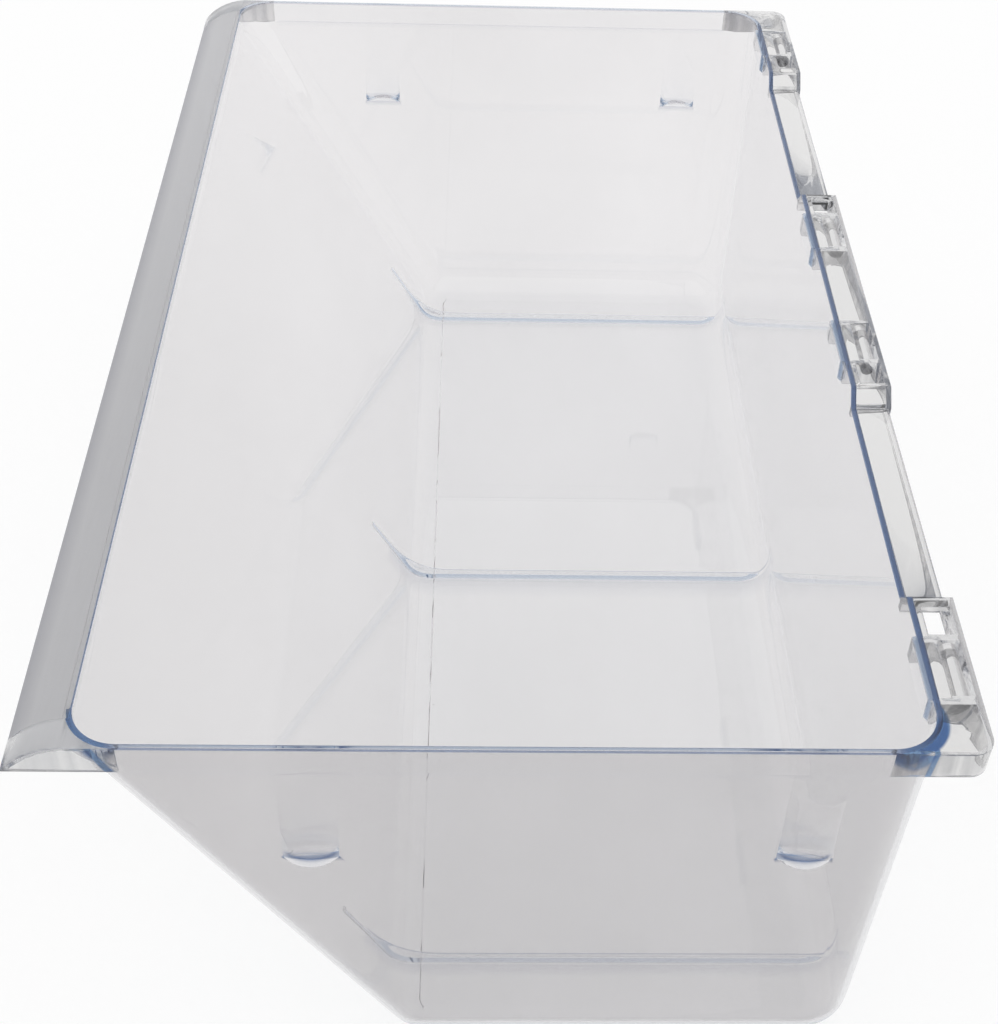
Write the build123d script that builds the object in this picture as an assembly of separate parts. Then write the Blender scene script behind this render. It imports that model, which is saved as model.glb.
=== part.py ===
"""Clear moulded crisper drawer: a tub with one leaning side, a frosted grip lip along that side,
and a rail of three raised clip blocks joined by lower flanges along the opposite, upright side.

Frame: X runs across the drawer, grip lip at -X and clip rail at +X. Y runs along its length.
Z is up. The origin is at the bottom centre of the whole drawer's bounding box.
While it is being built, x = 0 is the inner rim edge on the grip side, y = 0 the inner rim edge
at the -Y end and z = 0 the rim's top. The finished solids are moved to the frame above.
"""
import os
from math import cos, radians, sin, sqrt, tan

from build123d import *

# ---- driving dimensions, millimetres and degrees ----
OPENING_LENGTH = 450.0      # between the inner rim edges, along Y
OPENING_WIDTH = 240.0       # between the inner rim edges, along X
INNER_DEPTH = 154.0         # rim top down to the inside of the floor
WALL = 1.8                  # tub wall and floor
FLOOR = 2.2
RIM_CORNER_RADIUS = 14.0    # inside, seen from above
FLOOR_CORNER_RADIUS = 16.0  # inside, seen from above
BOTTOM_RADIUS = 12.0        # inside, floor to walls
END_DRAFT = 2.0             # how far the end walls lean in
RAIL_SIDE_DRAFT = 1.2
GRIP_SIDE_LEAN = 30.0       # from upright, below the knee
KNEE_DEPTH = 6.0            # the leaning wall is upright down to here

BAND_HEIGHT = 9.7           # rim band, grip lip and rail skirt all end at this depth
BAND_THICKNESS = 1.95       # of the rim band, out from the inner rim edge

RIB_THICKNESS = 2.0         # transverse floor ribs
RIB_HEIGHT = 3.5
RIB_SETBACK = 34.9          # first rib from the inner rim edge
RIB_SWEEP_RADIUS = 27.0     # where a rib runs up into the leaning wall
RIB_WALL_HEIGHT = 0.6       # what is left of a rib on the leaning wall
RIB_TOP_DEPTH = 124.0       # rib ends on the leaning wall, below the rim top
RIB_ROOT = 4.0              # how far a rib's blank reaches behind the leaning wall's inside

LEDGE_DEPTH = 49.4          # nesting ledges below the rim top
LEDGE_HALF_WIDTH = 8.2
LEDGE_PROUD = 4.2           # out from the wall's outer face
LEDGE_SWEEP = {0: 1.0, 2.5: 0.66, 6: 0.36, 11: 0.16, 20: 0.06, 34: 0.03}  # share left, by height above it
FLUTE_FROM_GRIP = 64.0      # ledge centres from the inner rim edge on the grip side
FLUTE_FROM_RAIL = 32.4      # and from the one on the rail side

LIP_WIDTH = 18.3            # from the inner rim edge to the lip's outer edge
LIP_CREST = 2.0             # the crest line, inward from the inner rim edge
LIP_THICKNESS = 2.0
CAP_LENGTH = 9.0            # clear end caps, from the end face to their seam

RAIL_WIDTH = 14.0           # from the inner rim edge to the rail's outer face
RAIL_CORNER_RADIUS = 6.0    # outer corner, seen from above
LOW_STEP = 5.5              # low flanges below the rim top
LOW_SETBACK = 1.0           # low flanges in from the rail's outer face
WEB = 1.8                   # top plate of blocks and low flanges
SKIRT = 1.6                 # outer wall of blocks and low flanges
CROSS_WALL = 2.4
END_BLOCK_LENGTH = 59.0     # a block at an end, from the inner rim edge to its ramp
MIDDLE_BLOCK_LENGTH = 125.2
RAMP_LENGTH = 5.5

STATION_LENGTH = 21.6       # clip bar, between its two cross walls
END_STATION_START = 19.5    # from the inner rim edge
MIDDLE_STATION_START = 25.3 # from mid-length
WELL_LENGTH = 11.4          # open well beyond a clip station
BAR_RADIUS = 2.7
BAR_DEPTH = 3.6             # bar axis below the rim top
BAR_FROM_EDGE = 5.0         # bar axis in from the rail's outer face
WINDOW_CLEARANCE = 0.7      # window around the bar
PAD_THICKNESS = 1.6         # backing pads inside the wall at the clip stations
PAD_HEIGHT = 9.0
PAD_FOOT = 1.4              # chamfer under a pad
PAD_OVERHANG = 1.5          # pad past its station, each way

# ---- worked out ----
END_SLOPE = tan(radians(END_DRAFT))
RAIL_SLOPE = tan(radians(RAIL_SIDE_DRAFT))
GRIP_SLOPE = tan(radians(GRIP_SIDE_LEAN))
MID = OPENING_LENGTH / 2
RAIL_X = OPENING_WIDTH + RAIL_WIDTH
HEIGHT = INNER_DEPTH + FLOOR
END_Y = -BAND_THICKNESS
LOW_X = RAIL_X - LOW_SETBACK
LIP_RADIUS = ((LIP_WIDTH + LIP_CREST) ** 2 + BAND_HEIGHT ** 2) / (2 * BAND_HEIGHT)


def plan(depth, grow, corner):
    """Rounded outline of the inside at a depth below the rim top, grown outwards by grow."""
    lean = max(0.0, depth - KNEE_DEPTH) * GRIP_SLOPE
    x0 = lean - grow
    x1 = OPENING_WIDTH - depth * RAIL_SLOPE + grow
    y0 = depth * END_SLOPE - grow
    y1 = OPENING_LENGTH - y0
    outline = Rectangle(x1 - x0, y1 - y0)
    outline = fillet(outline.vertices(), corner + grow)
    return Pos((x0 + x1) / 2, MID, -depth) * outline


def tapered_body(grow, bottom_depth, bottom_radius):
    """The tub's inside (grow 0) or outside (grow WALL) as one solid."""
    upper = loft([plan(0, grow, RIM_CORNER_RADIUS), plan(KNEE_DEPTH, grow, RIM_CORNER_RADIUS)], ruled=True)
    lower = loft([plan(KNEE_DEPTH, grow, RIM_CORNER_RADIUS),
                  plan(bottom_depth, grow, FLOOR_CORNER_RADIUS)], ruled=True)
    lower = fillet(lower.faces().sort_by(Axis.Z)[0].edges(), bottom_radius)
    return upper + lower


def box(x0, x1, y0, y1, z0, z1):
    """A block between two corners."""
    return Pos((x0 + x1) / 2, (y0 + y1) / 2, (z0 + z1) / 2) * Box(x1 - x0, y1 - y0, z1 - z0)


def across(points, x0, x1):
    """A prism along X from an outline of (y, z) points."""
    face = make_face(Polyline(*[(x0, y, z) for y, z in points], close=True))
    return extrude(face, amount=x1 - x0, dir=(1, 0, 0))


def along(edges, y0, y1):
    """A prism along Y from edges drawn in the XZ plane at y0."""
    return extrude(make_face(edges), amount=y1 - y0, dir=(0, 1, 0))


def mirrored(shape):
    """The same shape at the other end of the drawer."""
    return mirror(shape, about=Plane.XZ.offset(-MID))


# ---- tub ----

def floor_rib(y, inside):
    """A low rib across the floor that sweeps up into the leaning wall."""
    top = -INNER_DEPTH + RIB_HEIGHT
    lean = radians(90 - GRIP_SIDE_LEAN)
    offset = RIB_WALL_HEIGHT / cos(radians(GRIP_SIDE_LEAN))
    corner_x = (-top - KNEE_DEPTH) * GRIP_SLOPE + offset
    reach = RIB_SWEEP_RADIUS * tan(lean / 2)
    wall_end = (corner_x - reach * cos(lean), top + reach * sin(lean))
    rib_end = (wall_end[0] + (wall_end[1] + RIB_TOP_DEPTH) * GRIP_SLOPE, -RIB_TOP_DEPTH)
    y0 = y - RIB_THICKNESS / 2
    far_x, low_z = OPENING_WIDTH, -INNER_DEPTH - 1

    def at(x, z):
        return (x, y0, z)

    edges = [
        Line(at(*rib_end), at(*wall_end)),
        TangentArc(at(*wall_end), at(corner_x + reach, top), tangent=(sin(radians(GRIP_SIDE_LEAN)), 0,
                                                                     -cos(radians(GRIP_SIDE_LEAN)))),
        Line(at(corner_x + reach, top), at(far_x, top)),
        Line(at(far_x, top), at(far_x, low_z)),
        Line(at(far_x, low_z), at(rib_end[0] - RIB_ROOT, low_z)),
        Line(at(rib_end[0] - RIB_ROOT, low_z), at(rib_end[0] - RIB_ROOT, rib_end[1])),
        Line(at(rib_end[0] - RIB_ROOT, rib_end[1]), at(*rib_end)),
    ]
    return along(edges, y0, y0 + RIB_THICKNESS) & inside


def flute(x):
    """A solid flute on the -Y end wall: hardly proud at its top, it sweeps out to a flat D-shaped ledge."""
    sections = []
    for above, share in LEDGE_SWEEP.items():
        depth = LEDGE_DEPTH - above
        face = depth * END_SLOPE - WALL
        left, right = x - LEDGE_HALF_WIDTH, x + LEDGE_HALF_WIDTH
        outline = [ThreePointArc((left, face), (x, face - LEDGE_PROUD * share), (right, face)),
                   Line((right, face), (right, face + WALL / 2)),
                   Line((right, face + WALL / 2), (left, face + WALL / 2)),
                   Line((left, face + WALL / 2), (left, face))]
        sections.append(Pos(0, 0, -depth) * make_face(outline))
    return loft(sections, ruled=True)


def rail_notch(y0, y1):
    """What is cut off the rail side wall's top between two blocks, with a ramp at each end."""
    points = [(y0, 1), (y0, 0), (y0 + RAMP_LENGTH, -LOW_STEP), (y1 - RAMP_LENGTH, -LOW_STEP), (y1, 0), (y1, 1)]
    return across(points, OPENING_WIDTH - 2 * WALL, OPENING_WIDTH + 2 * WALL)


def station_starts():
    """Where each clip station begins, along Y."""
    near = END_STATION_START
    middle = MID - MIDDLE_STATION_START - STATION_LENGTH
    return {
        "near": near,
        "middle_near": middle,
        "middle_far": OPENING_LENGTH - middle - STATION_LENGTH,
        "far": OPENING_LENGTH - near - STATION_LENGTH,
    }


def backing_pad(start, inside):
    """A thickening inside the wall that carries the load of one clip bar."""
    y0 = start - PAD_OVERHANG
    y1 = start + STATION_LENGTH + PAD_OVERHANG
    x0 = OPENING_WIDTH - PAD_THICKNESS
    pad = box(x0, OPENING_WIDTH, y0, y1, -PAD_HEIGHT, 0)
    foot = pad.edges().filter_by(Axis.Y).sort_by(Axis.Z)[:2].sort_by(Axis.X)[0]
    return chamfer(foot, PAD_FOOT) & inside


def drawer_tub(outside, inside):
    """Floor, four walls, rim bands, nesting flutes, floor ribs and backing pads, in one moulding."""
    band = box(RIM_CORNER_RADIUS, OPENING_WIDTH - RIM_CORNER_RADIUS, END_Y, 0, -BAND_HEIGHT, 0)
    shell = outside + band + mirrored(band)
    for x in (FLUTE_FROM_GRIP, OPENING_WIDTH - FLUTE_FROM_RAIL):
        column = flute(x)
        shell = shell + column + mirrored(column)
    tub = shell - inside
    for y in (RIB_SETBACK, MID, OPENING_LENGTH - RIB_SETBACK):
        tub += floor_rib(y, inside)
    for start in station_starts().values():
        tub += backing_pad(start, inside)
    notch = rail_notch(END_BLOCK_LENGTH, MID - MIDDLE_BLOCK_LENGTH / 2)
    tub = tub - notch - mirrored(notch)
    return tub


# ---- grip lip ----

def lip_section(y):
    """Closed section of the lip's curved shell, as edges in the XZ plane at y."""

    def on(radius, x):
        return (x, y, sqrt(radius ** 2 - (x - LIP_CREST) ** 2) - LIP_RADIUS)

    inner = LIP_RADIUS - LIP_THICKNESS
    tip = -LIP_WIDTH
    inner_tip = LIP_CREST - sqrt(inner ** 2 - (LIP_RADIUS - BAND_HEIGHT) ** 2)
    return [
        ThreePointArc(on(LIP_RADIUS, tip), on(LIP_RADIUS, (tip + LIP_CREST) / 2), on(LIP_RADIUS, LIP_CREST)),
        Line(on(LIP_RADIUS, LIP_CREST), on(inner, LIP_CREST)),
        ThreePointArc(on(inner, LIP_CREST), on(inner, (inner_tip + LIP_CREST) / 2), on(inner, inner_tip)),
        Line(on(inner, inner_tip), on(LIP_RADIUS, tip)),
    ]


def lip_face(y):
    """Closed D-shaped outline under the lip's curve, out to where the rim band begins."""

    def on(x):
        return (x, y, sqrt(LIP_RADIUS ** 2 - (x - LIP_CREST) ** 2) - LIP_RADIUS)

    x1 = RIM_CORNER_RADIUS
    return [
        ThreePointArc(on(-LIP_WIDTH), on((LIP_CREST - LIP_WIDTH) / 2), on(LIP_CREST)),
        Line(on(LIP_CREST), (x1, y, 0)),
        Line((x1, y, 0), (x1, y, -BAND_HEIGHT)),
        Line((x1, y, -BAND_HEIGHT), on(-LIP_WIDTH)),
    ]


def grip_lip(outside):
    """The frosted length of the lip, between the clear end caps."""
    return along(lip_section(CAP_LENGTH), CAP_LENGTH, OPENING_LENGTH - CAP_LENGTH) - outside


def grip_end_cap(outside):
    """The clear end of the lip: a D-shaped face, the last of the curve and the corner's top plate."""
    face = along(lip_face(END_Y), END_Y, 0)
    curve = along(lip_section(END_Y), END_Y, CAP_LENGTH)
    corner = box(0, RIM_CORNER_RADIUS, END_Y, RIM_CORNER_RADIUS, -LIP_THICKNESS, 0)
    return face + curve + corner - outside


# ---- clip rail ----

def block_blank(y0, y1, ramp_at_start, x0):
    """A raised block before it is hollowed, with a ramp at one end or at both."""
    start = [(y0 - RAMP_LENGTH, -BAND_HEIGHT), (y0 - RAMP_LENGTH, -LOW_STEP), (y0, 0)]
    if not ramp_at_start:
        start = [(y0, -BAND_HEIGHT), (y0, 0)]
    end = [(y1, 0), (y1 + RAMP_LENGTH, -LOW_STEP), (y1 + RAMP_LENGTH, -BAND_HEIGHT)]
    return across(start + end, x0, RAIL_X)


def block_hollow(y0, y1, ramp_at_start, x0):
    """The space under a block's top plate, inside its skirt and its end walls."""
    below = -BAND_HEIGHT - 1
    ramp_shift = RAMP_LENGTH * WEB / LOW_STEP - CROSS_WALL
    low_shift = RAMP_LENGTH - CROSS_WALL
    start = [(y0 - low_shift, below), (y0 - low_shift, -LOW_STEP), (y0 - ramp_shift, -WEB)]
    if not ramp_at_start:
        start = [(y0 + BAND_THICKNESS, below), (y0 + BAND_THICKNESS, -WEB)]
    end = [(y1 + ramp_shift, -WEB), (y1 + low_shift, -LOW_STEP), (y1 + low_shift, below)]
    return across(start + end, x0 - 1, RAIL_X - SKIRT)


def clip_block(y0, y1, ramp_at_start, stations, wells, outside):
    """A raised length of the rail: top plate, skirt, end walls, cross walls, windows and open wells."""
    x0 = OPENING_WIDTH if ramp_at_start else OPENING_WIDTH - RIM_CORNER_RADIUS
    blank = block_blank(y0, y1, ramp_at_start, x0)
    hollow = block_hollow(y0, y1, ramp_at_start, x0)
    if not ramp_at_start:
        blank = fillet(blank.edges().filter_by(Axis.Z).group_by(Axis.Y)[0].sort_by(Axis.X)[-1],
                       RAIL_CORNER_RADIUS)
        corner = hollow.edges().filter_by(Axis.Z).group_by(Axis.Y)[0].sort_by(Axis.X)[-1]
        hollow = fillet(corner, RAIL_CORNER_RADIUS - SKIRT)
    block = blank - hollow
    inner_x = RAIL_X - SKIRT
    window_x = RAIL_X - BAR_FROM_EDGE - BAR_RADIUS - WINDOW_CLEARANCE
    for start in stations:
        end = start + STATION_LENGTH
        for y in (start - CROSS_WALL, end):
            block += box(x0, inner_x, y, y + CROSS_WALL, -BAND_HEIGHT, -WEB)
        block -= box(window_x, inner_x, start, end, -WEB - 1, 1)
    for start in wells:
        well_x = OPENING_WIDTH + WALL + WEB
        block -= box(well_x, inner_x, start, start + WELL_LENGTH, -WEB - 1, 1)
    return block - outside


def low_flange(y0, y1, outside):
    """A plain length of the rail, lower than the rim, with a short skirt along its outer edge."""
    plate = box(OPENING_WIDTH, LOW_X, y0, y1, -LOW_STEP - WEB, -LOW_STEP)
    skirt = box(LOW_X - SKIRT, LOW_X, y0, y1, -BAND_HEIGHT, -LOW_STEP)
    return plate + skirt - outside


def clip_bar(start):
    """A round bar between two cross walls, that a clip snaps over."""
    axis = Plane(origin=(RAIL_X - BAR_FROM_EDGE, start, -BAR_DEPTH), z_dir=(0, 1, 0))
    return extrude(axis * Circle(BAR_RADIUS), amount=STATION_LENGTH)


def rail_parts(outside):
    """Blocks, flanges and bars of the clip rail, by name."""
    starts = station_starts()
    near_well = starts["near"] + STATION_LENGTH + CROSS_WALL
    middle_well = starts["middle_near"] - CROSS_WALL - WELL_LENGTH
    middle_start = MID - MIDDLE_BLOCK_LENGTH / 2
    near_block = clip_block(END_Y, END_BLOCK_LENGTH, False, [starts["near"]], [near_well], outside)
    middle_block = clip_block(middle_start, OPENING_LENGTH - middle_start, True,
                              [starts["middle_near"], starts["middle_far"]],
                              [middle_well, OPENING_LENGTH - middle_well - WELL_LENGTH], outside)
    near_flange = low_flange(END_BLOCK_LENGTH + RAMP_LENGTH, middle_start - RAMP_LENGTH, outside)
    parts = {
        "near_clip_block": near_block,
        "middle_clip_block": middle_block,
        "far_clip_block": mirrored(near_block),
        "near_low_flange": near_flange,
        "far_low_flange": mirrored(near_flange),
    }
    for place, start in starts.items():
        parts[place + "_clip_bar"] = clip_bar(start)
    return parts


# ---- whole drawer ----

def main():
    outside = tapered_body(WALL, HEIGHT, BOTTOM_RADIUS + FLOOR)
    inside = tapered_body(0, INNER_DEPTH, BOTTOM_RADIUS)
    cap = grip_end_cap(outside)
    parts = {
        "drawer_tub": drawer_tub(outside, inside),
        "grip_lip": grip_lip(outside),
        "near_grip_end_cap": cap,
        "far_grip_end_cap": mirrored(cap),
    }
    parts.update(rail_parts(outside))
    os.makedirs("parts", exist_ok=True)
    to_frame = Location((-(RAIL_X - LIP_WIDTH) / 2, -MID, HEIGHT))
    for name, shape in parts.items():
        placed = to_frame * shape
        placed.label = name
        print(name, len(placed.solids()), round(placed.volume / 1000, 2), "cm3")
        export_step(placed, os.path.join("parts", name + ".step"))


main()
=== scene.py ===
"""Clear moulded crisper drawer with a frosted grip lip, on a plain pale floor. Metres, in the frame's axes.

Shapes are worked out in the drawer's own millimetres: x = 0 is the inner rim edge on the grip side,
y = 0 the one at the near end and z = 0 the rim's top. to_frame() turns them into the frame's metres.
"""
import math

import bmesh
import bpy
import numpy as np
from mathutils import Matrix


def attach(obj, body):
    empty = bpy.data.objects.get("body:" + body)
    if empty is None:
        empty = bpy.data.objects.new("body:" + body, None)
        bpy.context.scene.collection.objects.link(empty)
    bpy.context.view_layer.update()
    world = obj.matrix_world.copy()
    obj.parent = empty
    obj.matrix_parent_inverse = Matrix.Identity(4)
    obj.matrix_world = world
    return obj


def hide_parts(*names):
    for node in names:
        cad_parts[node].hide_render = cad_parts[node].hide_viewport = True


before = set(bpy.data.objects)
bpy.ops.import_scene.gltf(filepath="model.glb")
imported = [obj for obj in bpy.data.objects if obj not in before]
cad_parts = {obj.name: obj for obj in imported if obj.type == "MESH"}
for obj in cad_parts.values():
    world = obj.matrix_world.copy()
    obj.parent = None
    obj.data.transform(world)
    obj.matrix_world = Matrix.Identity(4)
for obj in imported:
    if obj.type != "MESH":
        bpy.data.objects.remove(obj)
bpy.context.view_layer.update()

# ---- camera, from the vanishing lines of the rim ----
CAMERA_PLACE = (-0.0086, -0.5228, 0.5091)
CAMERA_PITCH = 0.7312
CAMERA_YAW = -0.0444
CAMERA_ROLL = -0.0408
FOCAL_PIXELS = 1685.0
LONG_SIDE_PIXELS = 1024.0
CENTRE_SHIFT_PIXELS = 28.0
SENSOR = 36.0

# ---- sizes of the drawer, in millimetres ----
OPENING_LENGTH = 450.0
OPENING_WIDTH = 240.0
INNER_DEPTH = 154.0
WALL = 1.8
FLOOR = 2.2
RIM_CORNER_RADIUS = 14.0
FLOOR_CORNER_RADIUS = 16.0
BOTTOM_RADIUS = 12.0
KNEE_DEPTH = 6.0
LEAN = np.radians(30.0)
GRIP_SLOPE = np.tan(LEAN)
END_SLOPE = np.tan(np.radians(2.0))
RAIL_SLOPE = np.tan(np.radians(1.2))
BAND_HEIGHT = 9.7
BAND_THICKNESS = 1.95
MID = OPENING_LENGTH / 2
LOW_STEP = 5.5
RAMP_LENGTH = 5.5
END_BLOCK_LENGTH = 59.0
MIDDLE_BLOCK_LENGTH = 125.2
STATION_STARTS = (19.5, 178.1, 250.3, 408.9)
STATION_LENGTH = 21.6
PAD_THICKNESS = 1.6
PAD_HEIGHT = 9.0
PAD_FULL_HEIGHT = 7.6  # from here a pad thins out towards its foot
PAD_OVERHANG = 1.5
PAD_OFFSETS = (-0.25, -0.02, 0.02, 0.1, 0.3)  # columns at a pad's end, and how thick it is at each
PAD_SHARES = (0, 0.08, 0.8, 0.94, 1)
RIB_PLACES = (34.9, MID, OPENING_LENGTH - 34.9)
RIB_HEIGHT = 3.5
RIB_WALL_HEIGHT = 0.6
RIB_TOP_DEPTH = 124.0
RIB_SWEEP_RADIUS = 27.0
RIB_OFFSETS = (0, 0.3, 0.5, 0.7, 0.9, 1.1, 1.35, 1.7, 2.2)
RIB_SHARES = (1, 0.99, 0.95, 0.86, 0.68, 0.45, 0.22, 0.07, 0)
RIB_TOP = -INNER_DEPTH + RIB_HEIGHT
RIB_REACH = RIB_SWEEP_RADIUS * np.tan((np.pi / 2 - LEAN) / 2)
RIB_SWEEP_X = (-RIB_TOP - KNEE_DEPTH) * GRIP_SLOPE + RIB_WALL_HEIGHT / np.cos(LEAN) + RIB_REACH
RIB_FROM_DEPTH = 100.0
FLUTE_PLACES = (64.0, OPENING_WIDTH - 32.4)
LEDGE_DEPTH = 49.4
LEDGE_HALF_WIDTH = 8.2
LEDGE_PROUD = 4.2
LEDGE_HEIGHTS = (0, 1.2, 2.5, 4, 6, 8.5, 11, 15, 20, 34)
LEDGE_SHARES = (1.0, 0.84, 0.71, 0.59, 0.49, 0.40, 0.33, 0.24, 0.16, 0.02)
FLUTE_MARGIN = 0.8  # plain wall kept on each side of a flute
EDGE = 0.35
CAP_LENGTH = 9.0
STRIP_THICKNESS = 0.3
LIP_WIDTH = 18.3
LIP_CREST = 2.0
LIP_THICKNESS = 2.0
LIP_RADIUS = ((LIP_WIDTH + LIP_CREST) ** 2 + BAND_HEIGHT ** 2) / (2 * BAND_HEIGHT)

# ---- the grid of the tub's skins ----
CORNER_STEPS = 14
COLUMN_GAP = 14.0
PERIMETER_KEEP = 32.0  # columns further than this from an end stay where they are
FOLLOW_DEPTH = 10.0  # and nearer ones follow the corner below this depth
CORNER_END = 31.0  # past this the floor's rows run straight across
FLUTE_STEPS = np.sin(np.linspace(-np.pi / 2, np.pi / 2, 19))
TURN_SHARES = np.linspace(0, 1, 12)[1:]
WALL_SHARES = np.linspace(0, 1, 8)[1:]
LAST_LEVEL = 135.0
INNER_LEVELS = (135, 132, 128, 124.8, 124.2, 123.8, 123.2, 110, 90, 70, 55, 40, 25, 14, 9.3, 9.0, 8.6, 7.9,
                7.6, 7.3, 5, 3, 1.2, 0.6)
RIM_TURN = np.radians([0, 22.5, 45, 67.5, 90])
TOP_SHARES = (0.28, 0.4, 0.5, 0.6, 0.72)
OUTER_LEVELS = (0.6, 1.2, 3, 6, 9.2, 9.55, 9.67, 9.72, 12, 16, 22, 29, 34.4, 38.4, 41, 43.4, 45.4, 46.9, 48.2)
BAND_FOOT = {9.55: 0.06, 9.67: 0.2}  # how far the band's foot is rounded in at these levels
# rows at a ledge: their offset on a flute and beside it, and how much of the ledge still stands out there
LEDGE_ROWS = ((-0.30, -0.9, 1.0), (-0.12, -0.5, 0.97), (0.0, -0.1, 0.93), (0.0008, 0.1, 0.08),
              (0.02, 0.5, 0.0), (0.3, 0.9, 0.0))
LOWER_LEVELS = (52, 60, 75, 90, 105, 120, 135)
KEPT_DEPTH = 1.2  # rows above this keep their distance from the wall's top
EVEN_DEPTH = 20.0  # and rows below this are level all round
STRIP_FADE = 3.0  # the grip rim's arc and the strip's seat fade out by this depth

# ---- where the painted blue glow and painted dark lines are ----
CORNER_REACH = 11.0
FOOT_LINE_DEPTH = 9.62
CHORD_DEPTH = 46.9
POOL_RADIUS = 9.0


def corner_radius(depth):
    """Radius of the plan's corners: the rim's down to the knee, then in a straight line to the floor's."""
    part = (depth - KNEE_DEPTH) / (INNER_DEPTH - KNEE_DEPTH)
    return RIM_CORNER_RADIUS + np.clip(part, 0, 1.2) * (FLOOR_CORNER_RADIUS - RIM_CORNER_RADIUS)


def limits(depth):
    """Inner faces of the grip wall, the rail wall and the -Y end wall at a depth, and the corner radius.
    Each wall is a plane, its slope times the depth, and the grip wall's slope starts at the knee."""
    x0 = np.maximum(depth - KNEE_DEPTH, 0) * GRIP_SLOPE
    return x0, OPENING_WIDTH - depth * RAIL_SLOPE, depth * END_SLOPE, corner_radius(depth)


def flute_share(depth):
    """How much of a ledge's standing out is left at a depth: it falls fast just above the ledge and then
    fades over 34 mm, in straight lines between LEDGE_HEIGHTS and LEDGE_SHARES."""
    above = np.maximum(LEDGE_DEPTH - depth, 0)
    return np.interp(above, LEDGE_HEIGHTS, LEDGE_SHARES)


def smooth(x):
    """0 below 0, 1 above 1, and three times the square less twice the cube between."""
    x = np.clip(x, 0, 1)
    return x * x * (3 - 2 * x)


def end_columns():
    """Columns of an end wall: (stretch, share of it) for plain ones, (-1 or -2, step) on the two flutes."""
    def plain(stretch, shares):
        return [(stretch, share) for share in shares]

    out = plain(0, (0, 0.04, 0.5, 1)) + [(-1, t) for t in FLUTE_STEPS]
    out += plain(2, np.concatenate([[0], np.linspace(0.08, 0.92, 8), [1]]))
    out += [(-2, t) for t in FLUTE_STEPS] + plain(4, (0, 0.5, 0.9, 1))
    return np.array(out, float)


def end_places(columns, depth):
    """x of each end wall column at its own depth, and how far a flute stands out there: the height of a
    circle's arc over its chord, times flute_share. Below the ledges the columns spread to the corners."""
    d = np.minimum(depth, LEDGE_DEPTH)
    half = LEDGE_HALF_WIDTH

    def ends(at):
        x0, x1, _, r = limits(at)
        return x0 + r, x1 - r

    start, stop = ends(d)
    flute_edges = [place + side * (half + FLUTE_MARGIN) for place in FLUTE_PLACES for side in (-1, 1)]
    anchors = np.stack([start] + [np.full_like(d, x) for x in flute_edges] + [stop])
    kind, share = columns[:, 0], columns[:, 1]
    i = np.clip(kind, 0, 4).astype(int)
    rows = np.arange(depth.shape[0])[:, None]
    cols = np.arange(depth.shape[1])[None, :]
    x = anchors[i[None, :], rows, cols] * (1 - share) + anchors[i[None, :] + 1, rows, cols] * share
    place = np.where(kind == -2, FLUTE_PLACES[1], FLUTE_PLACES[0])
    x = np.where(kind < 0, place + half * share, x)
    radius = (half ** 2 + LEDGE_PROUD ** 2) / (2 * LEDGE_PROUD)
    arc = np.sqrt(np.maximum(radius ** 2 - (half * share) ** 2, 0)) - (radius - LEDGE_PROUD)
    bulge = np.where(kind < 0, arc * flute_share(d), 0.0)
    bulge = np.where(depth < LEDGE_DEPTH + 0.001, np.maximum(bulge, 0), 0.0)
    low_start, low_stop = ends(depth)
    top_start, top_stop = ends(np.full_like(depth, LEDGE_DEPTH))
    low = low_start + (x - top_start) * (low_stop - low_start) / (top_stop - top_start)
    return np.where(depth > LEDGE_DEPTH, low, x), bulge


def side_columns():
    """y of each column of a long wall: fine at pads, ramps and rib faces, and nowhere over COLUMN_GAP."""
    marks = []
    for start in STATION_STARTS:
        for y, turn in ((start - PAD_OVERHANG, 1), (start + STATION_LENGTH + PAD_OVERHANG, -1)):
            marks += [y + turn * o for o in PAD_OFFSETS]
    for y in (END_BLOCK_LENGTH, MID - MIDDLE_BLOCK_LENGTH / 2 - RAMP_LENGTH):
        for e in (y, y + RAMP_LENGTH, OPENING_LENGTH - y, OPENING_LENGTH - y - RAMP_LENGTH):
            marks += [e - 0.3, e, e + 0.3]
    for y in RIB_PLACES:
        marks += [y + s * o for s in (-1, 1) for o in RIB_OFFSETS[1:]] + [y]
    full = [RIM_CORNER_RADIUS]
    for m in list(np.unique(np.round(marks, 4))) + [OPENING_LENGTH - RIM_CORNER_RADIUS]:
        gap = m - full[-1]
        n = int(np.ceil(gap / COLUMN_GAP))
        full += list(full[-1] + gap * np.arange(1, n + 1) / n)
    return np.array(full)


def side_places(columns, depth):
    """y of each long wall column at its own depth: the first and last ones follow the corners."""
    _, _, y0, r = limits(depth)
    mirrored = columns[None, :] > MID
    a = np.where(mirrored, OPENING_LENGTH - columns[None, :], columns[None, :])
    first = y0 + r
    _, _, y_follow, r_follow = limits(np.full_like(depth, FOLLOW_DEPTH))
    keep = y_follow + r_follow
    shifted = first + (a - keep) * (PERIMETER_KEEP - first) / (PERIMETER_KEEP - keep)
    near_top = np.where(a <= RIM_CORNER_RADIUS + 1e-6, first, a)
    moved = np.where(depth <= FOLLOW_DEPTH, near_top, np.maximum(shifted, first))
    y = np.where(a >= PERIMETER_KEEP, a, moved)
    return np.where(mirrored, OPENING_LENGTH - y, y)


def notch_drop(y):
    """How far the rail wall's top is below the rim: 0 at blocks, LOW_STEP between them, ramps between."""
    a = np.where(y > MID, OPENING_LENGTH - y, y)
    up = (a - END_BLOCK_LENGTH) / RAMP_LENGTH
    down = (MID - MIDDLE_BLOCK_LENGTH / 2 - a) / RAMP_LENGTH
    return LOW_STEP * np.clip(np.minimum(up, down), 0, 1)


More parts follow.
